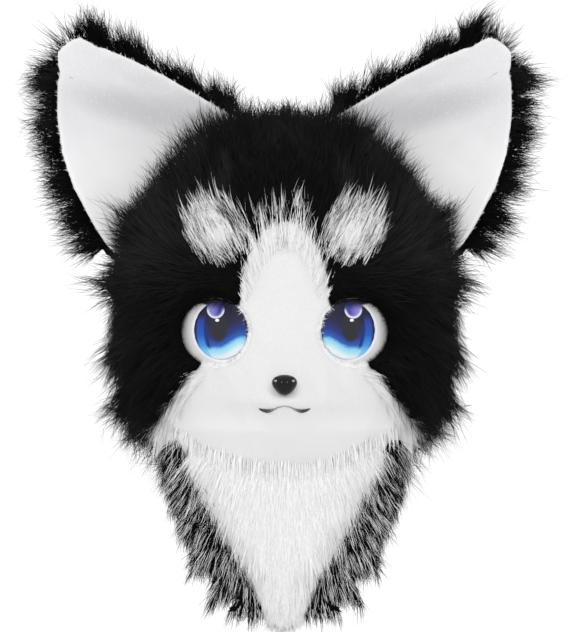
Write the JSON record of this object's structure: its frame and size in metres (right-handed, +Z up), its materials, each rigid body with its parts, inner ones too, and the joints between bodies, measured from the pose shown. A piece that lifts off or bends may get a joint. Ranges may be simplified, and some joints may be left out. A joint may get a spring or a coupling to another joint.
{
  "type": "animal costume head",
  "caption": "Wearable dog costume head: hollow foam form under black and white fur, upright ears, inset eyes, button nose and a pointed fur bib below the jaw.",
  "frame": {"origin": "inside of the crown, where the form rests on the top of the wearer's head", "axes": "+Z up as worn, the face looks along -Y, +X is the wearer's left"},
  "size_m": [0.4256, 0.3244, 0.5105],
  "materials": {
    "foam": "matte upholstery foam",
    "black_fur": "long pile fake fur",
    "white_fur": "fake fur",
    "white_plush": "short plush pile",
    "eye_white": "satin",
    "iris": "printed gloss",
    "nose": "gloss",
    "mouth": "felt",
    "backing": "woven backing cloth"
  },
  "bodies": {
    "root": {"head_base": "foam", "hood_fur": "black_fur", "face_fur": "white_fur", "brow_spot_left": "white_fur", "brow_spot_right": "white_fur", "eye_white_left": "eye_white", "eye_white_right": "eye_white", "iris_left": "iris", "iris_right": "iris", "nose": "nose", "mouth_line": "mouth", "ear_left": "black_fur", "ear_right": "black_fur", "ear_plush_left": "white_plush", "ear_plush_right": "white_plush", "bib_backing": "backing", "bib_fur": "white_fur", "bib_band_left": "black_fur", "bib_band_right": "black_fur"}
  },
  "joints": []
}
